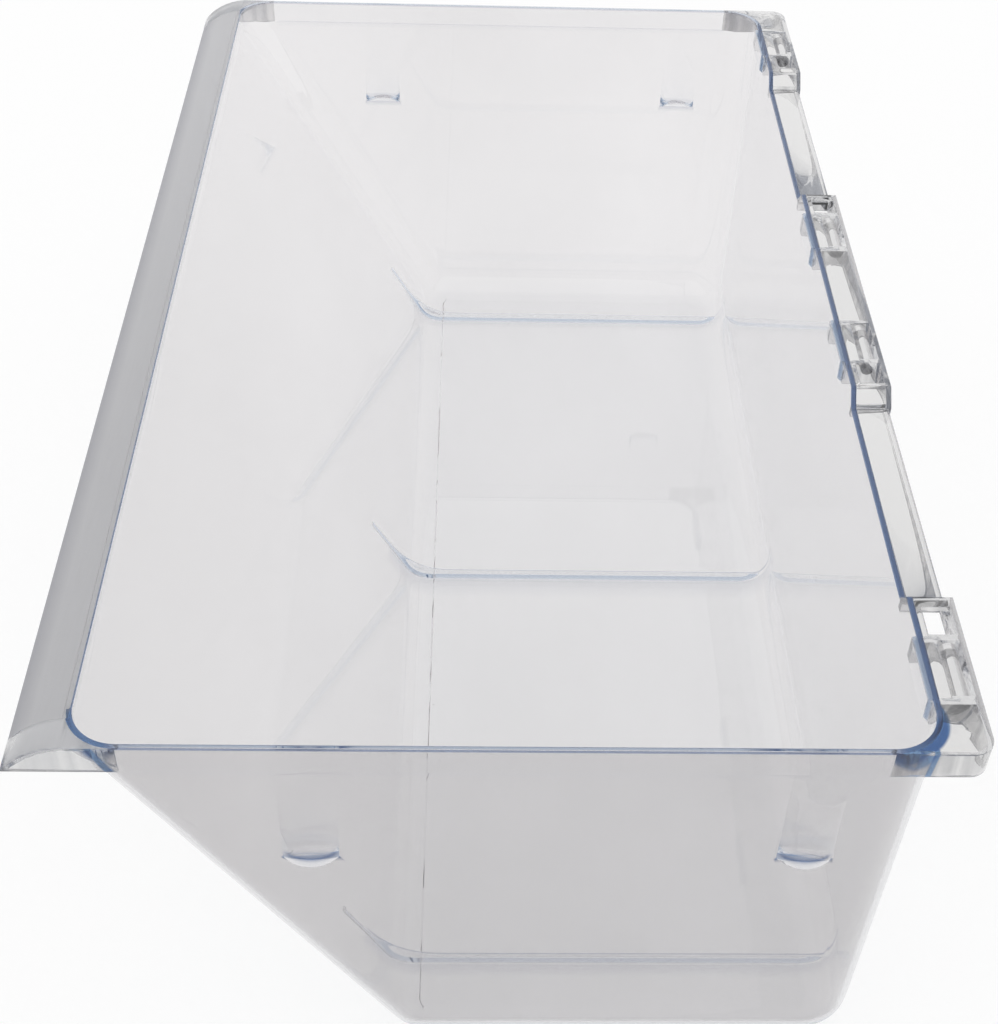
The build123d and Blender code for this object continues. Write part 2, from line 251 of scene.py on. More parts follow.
def pad_share(y):
    """1 on the backing pads, 0 between them, and PAD_SHARES at their ends."""
    out = np.zeros_like(y)
    for start in STATION_STARTS:
        y0, y1 = start - PAD_OVERHANG, start + STATION_LENGTH + PAD_OVERHANG
        out = np.maximum(out, np.interp(np.minimum(y - y0, y1 - y), PAD_OFFSETS, PAD_SHARES))
    return out


def ring(loop, depth, grow):
    """Plan position of every column at its own depth, grown outwards by grow, its outward direction, and
    how far a flute stands out there. Walls are straight and corners are circles round their centres.
    depth, grow: rows x columns."""
    out = np.zeros(depth.shape + (2,))
    unit = np.zeros(depth.shape + (2,))
    bulge = np.zeros(depth.shape)
    for name in ("rail", "far", "grip", "near"):
        pick = loop[name]
        d, g = depth[:, pick], grow[:, pick]
        x0, x1, y0, _ = limits(d)
        if name in ("rail", "grip"):
            out[:, pick, 0] = x1 + g if name == "rail" else x0 - g
            out[:, pick, 1] = side_places(loop["value"][pick], d)
            outward = (1, 0) if name == "rail" else (-1, 0)
        else:
            out[:, pick, 0], bulge[:, pick] = end_places(loop["end"][pick], d)
            out[:, pick, 1] = y0 - g if name == "near" else OPENING_LENGTH - (y0 - g)
            outward = (0, -1) if name == "near" else (0, 1)
        unit[:, pick, 0], unit[:, pick, 1] = outward
    pick = loop["corner"]
    x0, x1, y0, r = limits(depth[:, pick])
    u, v = np.cos(loop["value"][pick]), np.sin(loop["value"][pick])
    reach = r + grow[:, pick]
    out[:, pick, 0] = np.where(loop["right"][pick], x1 - r, x0 + r) + reach * u
    out[:, pick, 1] = np.where(loop["far_side"][pick], OPENING_LENGTH - y0 - r, y0 + r) + reach * v
    unit[:, pick, 0], unit[:, pick, 1] = u, v
    return out, unit, bulge


def make_loop():
    """The columns of the tub's skins as one closed loop: rail wall, far end, grip wall and near end, with
    a quarter circle between each two. A column has a kind, a y or an angle, its place on an end wall, and
    whether its corner is on the rail side and at the far end."""
    sides = side_columns()
    ends = end_columns()
    quarter = np.linspace(0, np.pi / 2, CORNER_STEPS + 1)[1:-1]
    no_end = (0, 0)
    columns = [("rail", y, no_end, False, False) for y in sides]
    columns += [("corner", t, no_end, True, True) for t in quarter]
    columns += [("far", 0, e, False, False) for e in ends[::-1]]
    columns += [("corner", np.pi / 2 + t, no_end, False, True) for t in quarter]
    columns += [("grip", y, no_end, False, False) for y in sides[::-1]]
    columns += [("corner", np.pi + t, no_end, False, False) for t in quarter]
    columns += [("near", 0, e, False, False) for e in ends]
    columns += [("corner", 1.5 * np.pi + t, no_end, True, False) for t in quarter]
    kind, value, end, right, far_side = (np.array(part) for part in zip(*columns))
    loop = {"value": value, "end": end, "right": right, "far_side": far_side,
            "sides": len(sides), "ends": len(ends)}
    for name in ("rail", "far", "grip", "near", "corner"):
        loop[name] = kind == name
    return loop


def wall_tilt(loop):
    """How far each column's wall leans in, as an angle from upright. At a corner it follows from how
    the centre and the radius change with depth."""
    u, v = np.cos(loop["value"]), np.sin(loop["value"])
    dr = (FLOOR_CORNER_RADIUS - RIM_CORNER_RADIUS) / (INNER_DEPTH - KNEE_DEPTH)
    cx = np.where(loop["right"], -RAIL_SLOPE - dr, GRIP_SLOPE + dr)
    cy = np.where(loop["far_side"], -END_SLOPE - dr, END_SLOPE + dr)
    corner = np.arctan(-(cx * u + cy * v + dr))
    return np.select([loop["rail"], loop["grip"], loop["corner"]],
                     [np.arctan(RAIL_SLOPE), LEAN, corner], np.arctan(END_SLOPE))


def bottom_rows(name, tilt, radius, bottom, grow):
    """A skin's last rows of wall and its turn into the level bottom: a circle's arc from the wall's tilt
    to level, as a height and a pull inwards."""
    last = bottom - radius * (1 - np.sin(tilt))
    rows = [(name + "_wall", LAST_LEVEL + (last - LAST_LEVEL) * share, grow) for share in WALL_SHARES]
    for share in TURN_SHARES:
        beta = tilt + (np.pi / 2 - tilt) * share
        height = -bottom + radius - radius * np.sin(beta)
        rows.append((name + "_turn", last, grow, height, radius * (np.cos(tilt) - np.cos(beta))))
    return rows


def tub(loop):
    """Rows of points round the loop: up the inner skin, over the rim and down the outer skin. A row has a
    name and, for each column, a depth, a growth outwards, a height and a pull inwards."""
    n = len(loop["value"])
    tilt = wall_tilt(loop)
    is_end = loop["near"] | loop["far"]
    y_top = side_places(loop["value"][loop["rail"]], np.zeros((1, loop["rail"].sum())))[0]
    drop, pad = np.zeros(n), np.zeros(n)
    drop[loop["rail"]] = notch_drop(y_top)
    pad[loop["rail"]] = pad_share(y_top)
    rows = []

    def add_row(name, depth, grow, height=None, pull=0.0):
        depth = np.broadcast_to(np.asarray(depth, float), (n,))
        values = (depth, grow, -depth if height is None else height, pull)
        rows.append((name,) + tuple(np.broadcast_to(value, (n,)) for value in values))

    def lowered(level):
        """Depth of a row at each column: near the rim it keeps its distance from the wall's top."""
        if level <= KEPT_DEPTH:
            return drop + level
        if level >= EVEN_DEPTH:
            return np.full(n, float(level))
        reach = EVEN_DEPTH - drop - KEPT_DEPTH
        return drop + KEPT_DEPTH + (level - KEPT_DEPTH) * reach / (EVEN_DEPTH - KEPT_DEPTH)

    for row in bottom_rows("in", tilt, BOTTOM_RADIUS, INNER_DEPTH, 0.0)[::-1]:
        add_row(*row)
    for level in INNER_LEVELS:
        add_row("in", lowered(level), 0.0)
    rounding = list(zip(EDGE * (1 - np.cos(RIM_TURN)), EDGE * (1 - np.sin(RIM_TURN))))
    wall_top = np.where(is_end, BAND_THICKNESS, WALL)
    for inset, below in rounding:
        add_row("rim_in", drop + below, inset)
    for share in TOP_SHARES:
        add_row("top", drop, wall_top * share)
    for inset, below in rounding[::-1]:
        add_row("rim_out", drop + below, wall_top - inset)
    for level in OUTER_LEVELS:
        depth = lowered(level)
        band = BAND_THICKNESS + END_SLOPE * depth - BAND_FOOT.get(level, 0.0)
        add_row("out", depth, np.where(is_end & (level < BAND_HEIGHT), band, WALL))
    _, _, standing = ring(loop, np.full((1, n), LEDGE_DEPTH), np.zeros((1, n)))
    on_flute = smooth(standing[0] / 0.5)
    for fine, wide, kept in LEDGE_ROWS:
        name = "ledge" if kept > 0.5 else "ledge_flat"
        add_row(name, LEDGE_DEPTH + fine * on_flute + wide * (1 - on_flute), WALL)
    for level in LOWER_LEVELS:
        add_row("out", level, WALL)
    for row in bottom_rows("out", tilt, BOTTOM_RADIUS + FLOOR, INNER_DEPTH + FLOOR, WALL):
        add_row(*row)

    tags = np.array([row[0] for row in rows])
    D, G, Z, H = (np.array([row[i] for row in rows]) for i in range(1, 5))
    plan, unit, bulge = ring(loop, D, G)
    # flutes show from the band's foot down, and the ledge's own rows carry it at its full width
    is_ledge = np.isin(tags, ["ledge", "ledge_flat"])
    kept = np.ones(len(tags))
    kept[is_ledge] = [row[2] for row in LEDGE_ROWS]
    _, _, standing = ring(loop, np.full_like(D, LEDGE_DEPTH), G)
    below_band = (tags == "out")[:, None] & (D > BAND_HEIGHT + 0.01)
    bulge = np.where(is_ledge[:, None], standing * kept[:, None], np.where(below_band, bulge, 0))
    held, _, _ = ring(loop, np.where(is_ledge[:, None], np.minimum(D, LEDGE_DEPTH), D), G)
    hold = is_ledge[:, None] & is_end[None, :]
    plan = np.where(hold[..., None], held * [1, 0] + plan * [0, 1], plan)
    plan = plan + unit * bulge[..., None]
    plan = plan - unit * H[..., None]
    # backing pads, which thin out over the rim's width
    over_rim = np.isin(tags, ["rim_in", "top", "rim_out"])[:, None]
    inside = (tags == "in")[:, None] | over_rim
    across = np.clip(1 - G / WALL, 0, 1)
    thick = np.maximum(PAD_THICKNESS - RAIL_SLOPE * D, 0)
    thick = thick * np.interp(D, [0, PAD_FULL_HEIGHT, PAD_HEIGHT], [1, 1, 0])
    plan = plan - unit * (np.where(inside, thick * pad * across, 0))[..., None]
    # the grip side's rim follows the lip's arc, and is lowered for the frosted strip between the caps
    turned = np.clip(-unit[..., 0], 0, 1) ** 2
    arc_x = np.clip(plan[..., 0], -LIP_WIDTH, LIP_CREST) - LIP_CREST
    arc = np.sqrt(LIP_RADIUS ** 2 - arc_x ** 2) - LIP_RADIUS
    along = np.minimum(plan[..., 1], OPENING_LENGTH - plan[..., 1])
    seat = STRIP_THICKNESS * smooth((along - CAP_LENGTH) / 0.4) * loop["grip"][None, :]
    fade = np.where(over_rim, 1.0, np.clip(1 - D / STRIP_FADE, 0, 1))
    Z = Z + (arc * turned - seat) * fade
    return np.concatenate([plan, Z[..., None]], axis=-1), tags, D, tilt


def lift(points, inward):
    """How far points of the inner skin move along inward to reach the rib's top line: a line offset from
    the leaning wall, a circle's arc that is tangent to it, and a line over the floor. On the arc it is the
    nearer root of the circle's equation along the ray. inward is a direction in the XZ plane."""
    px, pz = points[..., 0] - RIB_SWEEP_X, points[..., 2] - (RIB_TOP + RIB_SWEEP_RADIUS)
    b = px * inward[..., 0] + pz * inward[..., 1]
    c = px ** 2 + pz ** 2 - RIB_SWEEP_RADIUS ** 2
    on_arc = -b - np.sqrt(np.maximum(b * b - c, 0))
    wall_end_z = RIB_TOP + RIB_REACH * np.cos(LEAN)
    fade = np.interp(-points[..., 2], [RIB_TOP_DEPTH - 0.8, RIB_TOP_DEPTH + 0.8], [0, 1])
    hit_z = points[..., 2] + inward[..., 1] * RIB_WALL_HEIGHT
    return np.where(hit_z > wall_end_z, RIB_WALL_HEIGHT * fade, on_arc)


def floor_index(loop):
    """Loop numbers of the columns along the floor grid's four edges, from mid-corner to mid-corner: the
    rail side's and the grip side's with y rising, the far end's and the near end's with x rising."""
    n = len(loop["value"])
    corner = CORNER_STEPS - 1
    far = loop["sides"] + corner
    grip = far + loop["ends"] + corner
    near = grip + loop["sides"] + corner

    def run(first, count):
        return np.arange(first - corner // 2 - 1, first + count + corner // 2 + 1) % n

    return (run(0, loop["sides"]), run(far, loop["ends"])[::-1],
            run(grip, loop["sides"])[::-1], run(near, loop["ends"]))


def floor_grid(edge, loop):
    """A level skin spanned between its edge's columns: straight across from side to side, plus what the
    two ends differ from straight, which fades out over the corners so that ribs stay straight."""
    right, top, left, bottom = floor_index(loop)
    L, R, B, T = (edge[i] for i in (left, right, bottom, top))
    u = (B[:, 0] - B[0, 0]) / (B[-1, 0] - B[0, 0])
    P = L[:, None, :] * (1 - u)[None, :, None] + R[:, None, :] * u[None, :, None]
    dB = B - (L[0] * (1 - u)[:, None] + R[0] * u[:, None])
    dT = T - (L[-1] * (1 - u)[:, None] + R[-1] * u[:, None])
    y = L[:, 1]
    wb = np.clip(1 - (y - y[0]) / (CORNER_END - y[0]), 0, 1)
    wt = np.clip(1 - (y[-1] - y) / (y[-1] - (OPENING_LENGTH - CORNER_END)), 0, 1)
    P = P + wb[:, None, None] * dB[None] + wt[:, None, None] * dT[None]
    index = -np.ones(P.shape[:2], int)
    index[:, 0], index[:, -1], index[0, :], index[-1, :] = left, right, bottom, top
    return P, index


def rib_share(y):
    """How much of a rib's height there is at y: its rounded cross-section, in straight lines between
    RIB_OFFSETS and RIB_SHARES."""
    out = np.zeros_like(y)
    for place in RIB_PLACES:
        out = np.maximum(out, np.interp(np.abs(y - place), RIB_OFFSETS, RIB_SHARES))
    return out


def painted_light_masks(points, tags, loop, depth):
    """Two masks of painted light over the tub's own skins.
    edge: painted dark blue where light piped through the plastic leaves it: the rim's corners with a streak
    down each, the rail wall's top, the ledges with a chord above each, and fine lines along the rim's edges and
    the band's foot.
    pool: a painted blue glow for trapped light: round the near ledges, the near corners and the rail's top."""
    x, y = points[..., 0], points[..., 1]
    along = np.minimum(y, OPENING_LENGTH - y)
    side = np.minimum(x, OPENING_WIDTH - x)
    names = tags[:, None]
    near_half = y < MID
    nearness = 1 - smooth(y / OPENING_LENGTH)
    upper = np.isin(names, ["rim_in", "top", "rim_out"])
    outer = (names == "out") | upper
    ends = (loop["near"] | loop["far"])[None, :]
    rail, at_corner = loop["rail"][None, :], loop["corner"][None, :]

    corner = 1 - smooth((np.maximum(along, 0) + np.maximum(side, 0) - CORNER_REACH) / 8.0)
    strength = corner * np.where(near_half, 1.0, 0.2)
    turned = np.where(loop["corner"], np.sin(2 * loop["value"]) ** 2, 0.0)[None, :]
    streak = np.exp(-((turned - 0.55) / 0.22) ** 2) * (1 - smooth((depth - 7.5) / 2.2))
    below = np.maximum(1 - smooth((depth - 1.5) / 3.0), 0.8 * streak) * at_corner
    edge = np.where(upper, strength, np.where(outer, strength * below, 0.0))
    rail_top = upper & rail & (x > OPENING_WIDTH - 0.15)
    edge = np.where(rail_top, np.maximum(edge, 0.80 + 0.17 * nearness), edge)
    lines = np.isin(names, ["rim_in", "rim_out"]) & ~rail
    edge = np.where(lines, np.maximum(edge, 0.35 + 0.45 * nearness), edge)
    foot = np.exp(-((depth - FOOT_LINE_DEPTH) / 0.1) ** 2)
    edge = np.where(outer & ends & ~upper, np.maximum(edge, 0.3 * foot), edge)
    flat = (names == "ledge_flat") & ends
    for place in FLUTE_PLACES:
        away = np.abs(x - place)
        edge = np.where(flat & (away < LEDGE_HALF_WIDTH + 0.4), np.where(near_half, 1.0, 0.35), edge)
        chord = np.exp(-((depth - CHORD_DEPTH) / 0.8) ** 2)
        chord = chord * (1 - smooth((away - LEDGE_HALF_WIDTH + 1.6) / 1.2)) * np.where(near_half, 1.0, 0.2)
        edge = np.where((names == "out") & ends, np.maximum(edge, chord), edge)

    pool = corner * np.where(near_half, 1.0, 0.15) * (1 - smooth((depth - 8) / 6))
    pool = np.maximum(pool, 0.75 * nearness * rail * (1 - smooth((depth - 4) / 6)))
    for place in FLUTE_PLACES:
        round_ledge = 1 - smooth((np.hypot(x - place, depth - LEDGE_DEPTH) - POOL_RADIUS) / 5)
        pool = np.maximum(pool, np.where(near_half & loop["near"][None, :], round_ledge, 0))
    return edge, pool


def rib_shade_lines(y):
    """Painted shade: darker lines that a rib shows, along the far edge of its top and, fainter, at its near
    foot. Each is a bell curve across the rib, and all are weaker towards the far end."""
    out = np.zeros_like(y)
    for place in RIB_PLACES:
        top = np.exp(-((y - place - 0.3) / 0.4) ** 2)
        foot = np.exp(-((y - place + 2.2) / 0.3) ** 2)
        out = np.maximum(out, (0.8 * top + 0.3 * foot) * np.interp(place, [0, OPENING_LENGTH], [1.0, 0.45]))
    return out


def joined(rows, n):
    """Quads between neighbouring rows of a closed loop's points, rows x n of them."""
    i, j = np.meshgrid(np.arange(rows - 1), np.arange(n), indexing="ij")
    k = (j + 1) % n
    return np.stack([i * n + j, (i + 1) * n + j, (i + 1) * n + k, i * n + k], -1).reshape(-1, 4)


def build():
    """The tub's points, quads, masks and level parts: its skins' rows joined round the loop, with a level
    grid across the inside and one under the floor, and the ribs raised on the skin, the turn and the grid."""
    loop = make_loop()
    pts, tags, depth, tilt = tub(loop)
    rows, n = pts.shape[:2]
    share = rib_share(pts[..., 1])
    inner = np.isin(tags, ["in", "in_wall", "in_turn"])[:, None]
    grip, rail = loop["grip"][None, :], loop["rail"][None, :]
    beta = np.repeat(tilt[None, :], rows, 0)
    beta[tags == "in_turn"] = tilt + (np.pi / 2 - tilt) * TURN_SHARES[::-1, None]
    inward = np.stack([np.cos(beta), np.sin(beta)], -1)
    move = np.where(inner & grip & (depth > RIB_FROM_DEPTH), lift(pts, inward), 0) * share
    pts[..., 0] += inward[..., 0] * move
    pts[..., 2] += inward[..., 1] * move
    pts[..., 2] += np.where(rail & inner, np.maximum(RIB_TOP - pts[..., 2], 0), 0) * share

    base_in, base_out = pts[0].copy(), pts[-1].copy()
    base_in[:, 2] = -INNER_DEPTH
    verts, faces = [pts.reshape(-1, 3)], [joined(rows, n)]
    count = skins = rows * n
    for base, first, upper in ((base_in, 0, True), (base_out, (rows - 1) * n, False)):
        P, index = floor_grid(base, loop)
        if upper:
            run = np.minimum(P[..., 0] - RIB_SWEEP_X, 0)
            line = RIB_TOP + RIB_SWEEP_RADIUS - np.sqrt(RIB_SWEEP_RADIUS ** 2 - run ** 2)
            P[..., 2] += rib_share(P[..., 1]) * (line - P[..., 2])
        inside = index < 0
        index = np.where(inside, 0, first + index)
        index[inside] = count + np.arange(inside.sum())
        count += inside.sum()
        verts.append(P[inside])
        quads = np.stack([index[:-1, :-1], index[:-1, 1:], index[1:, 1:], index[1:, :-1]], -1).reshape(-1, 4)
        faces.append(quads if upper else quads[:, ::-1])
    V = np.concatenate(verts)

    edge, pool = painted_light_masks(pts, tags, loop, depth)
    # painted shade lines along the ribs, on the skins and on the floor grid
    low_rows = np.isin(tags, ["in_turn", "in_wall"])[:, None] & (depth > RIB_TOP_DEPTH)
    edge = np.maximum(edge, rib_shade_lines(pts[..., 1]) * (low_rows & (grip | rail)))
    floor_rib_shade = np.where(V[skins:, 2] > -INNER_DEPTH - 1.0, rib_shade_lines(V[skins:, 1]), 0.0)
    masks = {"edge": np.concatenate([edge.ravel(), floor_rib_shade]),
             "pool": np.concatenate([pool.ravel(), np.zeros(len(floor_rib_shade))])}
    ribless = share[0] < 1e-6
    level = [(np.nonzero(ribless)[0], 1), ((rows - 1) * n + np.arange(n), -1)]
    return V, np.concatenate(faces), masks, level


# ---- other pieces ----
RAIL_X = OPENING_WIDTH + 14.0
HEIGHT = INNER_DEPTH + FLOOR
BAR_RADIUS = 2.7
BAR_DEPTH = 3.6
BAR_FROM_EDGE = 5.0
SEAT_GAP = 0.03
END_ROUNDING = 0.12
STRIP_ROUNDING = 0.1
STRIP_SET_BACK = 0.38
LIP_ROUNDING = 0.25
BEVEL_WIDTH = 0.25


def to_frame(points):
    """Millimetres of the drawer to metres of the frame."""
    return (np.asarray(points) + [-(RAIL_X - LIP_WIDTH) / 2, -MID, HEIGHT]) / 1000.0


def declare(piece, node, slot):
    """The piece rides on the one body and stands for its node, whose own part is hidden; slot is not used."""
    bpy.context.scene.collection.objects.link(piece)
    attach(piece, "root")
    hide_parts(node)


def make_piece(name, points, faces, material, node, slot, masks=None, level=()):
    """A mesh object from points and quads. Its normals are the sum of each quad's diagonals' cross product
    at its corners, so that flat faces stay flat. level holds (points, +1 or -1) where it is level."""
    V = to_frame(points)
    F = np.asarray(faces, int)
    mesh = bpy.data.meshes.new(name)
    mesh.vertices.add(len(V))
    mesh.vertices.foreach_set("co", V.astype(np.float32).ravel())
    mesh.loops.add(F.size)
    mesh.loops.foreach_set("vertex_index", F.ravel().astype(np.int32))
    mesh.polygons.add(len(F))
    mesh.polygons.foreach_set("loop_start", np.arange(0, F.size, 4, dtype=np.int32))
    mesh.polygons.foreach_set("use_smooth", np.ones(len(F), bool))
    for mask, values in (masks or {}).items():
        layer = mesh.attributes.new(mask, "FLOAT", "POINT")
        layer.data.foreach_set("value", np.asarray(values, np.float32))
    mesh.update(calc_edges=True)
    mesh.validate()
    cross = np.cross(V[F[:, 2]] - V[F[:, 0]], V[F[:, 3]] - V[F[:, 1]])
    normals = np.zeros_like(V)
    for k in range(4):
        np.add.at(normals, F[:, k], cross)
    normals /= np.maximum(np.linalg.norm(normals, axis=1), 1e-20)[:, None]
    for index, up in level:
        normals[index] = (0, 0, up)
    mesh.normals_split_custom_set_from_vertices(normals.tolist())
    mesh.materials.append(material)
    declare(bpy.data.objects.new(name, mesh), node, slot)


def rounded_copy(node, material, slot):
    """The node's own solid with its edges rounded: its mesh is copied, its doubles are merged, its flat
    faces are joined and the Bevel modifier rounds what is left."""
    work = bmesh.new()
    work.from_mesh(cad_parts[node].data)
    bmesh.ops.remove_doubles(work, verts=work.verts, dist=2e-6)
    bmesh.ops.dissolve_limit(work, angle_limit=math.radians(1.0), verts=work.verts, edges=work.edges)
    bmesh.ops.connect_verts_concave(work, faces=work.faces)
    mesh = bpy.data.meshes.new(node + "_look")
    work.to_mesh(mesh)
    work.free()
    mesh.polygons.foreach_set("use_smooth", np.ones(len(mesh.polygons), bool))
    mesh.materials.clear()
    mesh.materials.append(material)
    piece = bpy.data.objects.new(node + "_look", mesh)
    bevel = piece.modifiers.new("rounded_edges", "BEVEL")
    bevel.width = BEVEL_WIDTH / 1000
    bevel.segments = 2
    bevel.limit_method = "ANGLE"
    bevel.angle_limit = math.radians(25)
    bevel.harden_normals = True
    bevel.use_clamp_overlap = True
    declare(piece, node, slot)


def swept(sections):
    """Closed sections (stations x points x 3) joined along their path, with both ends closed straight
    across: point k of a section is joined to the point as far from its last one."""
    rows, n = sections.shape[:2]
    h = np.arange(n // 2)
    ends = np.stack([h[:-1], h[1:], n - 1 - h[1:], n - 1 - h[:-1]], -1)
    return sections.reshape(-1, 3), np.concatenate([joined(rows, n), ends, ends[:, ::-1] + (rows - 1) * n])


def stations(start, length, rounding):
    """y of a run's sections and how far each is drawn in: round a quarter circle at both of its ends."""
    t = np.pi / 2 * np.array([0, 0.35, 0.7, 1.0])
    along, inset = rounding * (1 - np.cos(t)), rounding * (1 - np.sin(t))
    return start + np.concatenate([along, length - along[::-1]]), np.concatenate([inset, inset[::-1]])


def between_caps(profile, rounding):
    """A profile in XZ, a function of how far it is drawn in, carried along Y between the end caps."""
    y, inset = stations(CAP_LENGTH + SEAT_GAP, OPENING_LENGTH - 2 * CAP_LENGTH - 2 * SEAT_GAP, rounding)
    S = np.array([profile(shrink) for shrink in inset])
    return swept(np.stack([S[..., 0], np.broadcast_to(y[:, None], S.shape[:2]), S[..., 1]], -1))


def clip_bar(start):
    """A round bar: a circle carried along Y, drawn in a little at both ends."""
    turn = np.linspace(0, 2 * np.pi, 65)[:-1]
    y, inset = stations(start + SEAT_GAP, STATION_LENGTH - 2 * SEAT_GAP, END_ROUNDING)
    r = BAR_RADIUS - inset[:, None]
    x = RAIL_X - BAR_FROM_EDGE + r * np.cos(turn)
    z = -BAR_DEPTH + r * np.sin(turn)
    return swept(np.stack([x, np.broadcast_to(y[:, None], x.shape), z], -1))


def grip_lip():
    """The lip's shell: an arc from the tub's rim down to its free edge and back on a smaller arc with the
    same centre, with a flat foot and rounded edges."""
    share = np.concatenate([[0, 0.004], np.linspace(0.012, 0.988, 40), [0.996, 1]])
    pull = LIP_ROUNDING * np.array([1, 0.4] + [0] * 40 + [0.4, 1])

    def arc(radius, pulled, foot):
        tip = LIP_CREST - np.sqrt(radius ** 2 - (LIP_RADIUS + foot) ** 2)
        a0, a1 = np.arccos((LIP_CREST + WALL + SEAT_GAP) / radius), np.arccos((LIP_CREST - tip) / radius)
        a = a0 + (a1 - a0) * share
        return LIP_CREST - pulled * np.cos(a), pulled * np.sin(a) - LIP_RADIUS

    def profile(shrink):
        foot = -BAND_HEIGHT + shrink * 0.5
        out_r, in_r = LIP_RADIUS - shrink, LIP_RADIUS - LIP_THICKNESS + shrink
        xo, zo = arc(out_r, out_r - pull, foot)
        xi, zi = arc(in_r, in_r + pull, foot)
        return np.stack([np.concatenate([xo, xi[::-1]]), np.concatenate([zo, zi[::-1]])], -1)

    return between_caps(profile, END_ROUNDING)


def rim_strip():
    """The frosted skin over the grip side's rim top: the lip's outer arc carried on to the rim's inner
    edge, with a thin underside."""
    x = -STRIP_SET_BACK - np.linspace(0, 1, 13) * (WALL - SEAT_GAP - STRIP_SET_BACK)
    pull = STRIP_ROUNDING * np.array([1, 0.3] + [0] * 9 + [0.3, 1])

    def profile(shrink):
        arc = np.sqrt(LIP_RADIUS ** 2 - (x - LIP_CREST) ** 2) - LIP_RADIUS
        low = arc - STRIP_THICKNESS + SEAT_GAP + shrink
        top = arc - shrink - pull
        return np.stack([np.concatenate([x, x[::-1]]), np.concatenate([top, low[::-1]])], -1)

    return between_caps(profile, STRIP_ROUNDING)


# ---- materials ----
PLASTIC_IOR = 1.57
FLOOR_WHITE = 0.55  # share of plain white in the floor, as it is seen
# painted light-piping blue for the rail's and trim's near corners
PAINTED_CORNER_BLUE = (0.03, 0.10, 0.28, 1)
SHADOW_TINT = (0.955, 0.955, 0.955, 1)
DEEP_RAYS = 10  # bounces after which a painted glow stands in for light trapped in the plastic
RIM_Z = 0.1562  # the rim's height in the frame
FRONT_Y = -0.2250  # faces nearer than this are the near end's own


class Nodes:
    """Adds nodes to a tree, sets their inputs and links them."""

    def __init__(self, tree):
        self.tree = tree

    def add(self, kind, inputs=None, **settings):
        node = self.tree.nodes.new("ShaderNode" + kind)
        for key, value in settings.items():
            setattr(node, key, value)
        for key, value in (inputs or {}).items():
            self.put(node.inputs[key], value)
        return node

    def put(self, socket, value):
        if isinstance(value, bpy.types.NodeSocket):
            self.tree.links.new(value, socket)
        else:
            socket.default_value = value

    def math(self, operation, *values):
        return self.add("Math", dict(enumerate(values)), operation=operation).outputs[0]

    def plus(self, first, second):
        return self.math("ADD", first, second)

    def minus(self, first, second):
        return self.math("SUBTRACT", first, second)

    def times(self, first, second):
        return self.math("MULTIPLY", first, second)

    def here(self, output="Object"):
        return self.add("TexCoord").outputs[output]

    def axes(self, vector):
        return self.add("SeparateXYZ", {0: vector}).outputs

    def mapped(self, vector, **inputs):
        return self.add("Mapping", {"Vector": vector, **inputs}).outputs[0]

    def scaled(self, colour, factor):
        return self.add("VectorMath", {0: colour, "Scale": factor}, operation="SCALE").outputs[0]

    def ramp(self, value, low, high, to_low=0.0, to_high=1.0):
        node = self.add("MapRange", {"Value": value, "From Min": low, "From Max": high,
                                     "To Min": to_low, "To Max": to_high}, clamp=True)
        return node.outputs["Result"]

    def noise(self, vector, scale, detail=2.0, rough=0.5):
        node = self.add("TexNoise", {"Vector": vector, "Scale": scale, "Detail": detail, "Roughness": rough})
        return node.outputs["Fac"]

    def blend(self, share, first, second):
        node = self.add("Mix", data_type="RGBA")
        for index, value in ((0, share), (6, first), (7, second)):
            self.put(node.inputs[index], value)
        return node.outputs[2]


def new_group(name, inputs, outputs):
    """A shader node group with named sockets: {name: default} in, {name: kind} out."""
    tree = bpy.data.node_groups.new(name, "ShaderNodeTree")
    for label, value in inputs.items():
        kind = "NodeSocketColor" if isinstance(value, tuple) else "NodeSocketFloat"
        socket = tree.interface.new_socket(label, in_out="INPUT", socket_type=kind)
        socket.default_value = value
    for label, kind in outputs.items():
        tree.interface.new_socket(label, in_out="OUTPUT", socket_type="NodeSocket" + kind)
    return Nodes(tree), tree.nodes.new("NodeGroupInput").outputs, tree.nodes.new("NodeGroupOutput").inputs


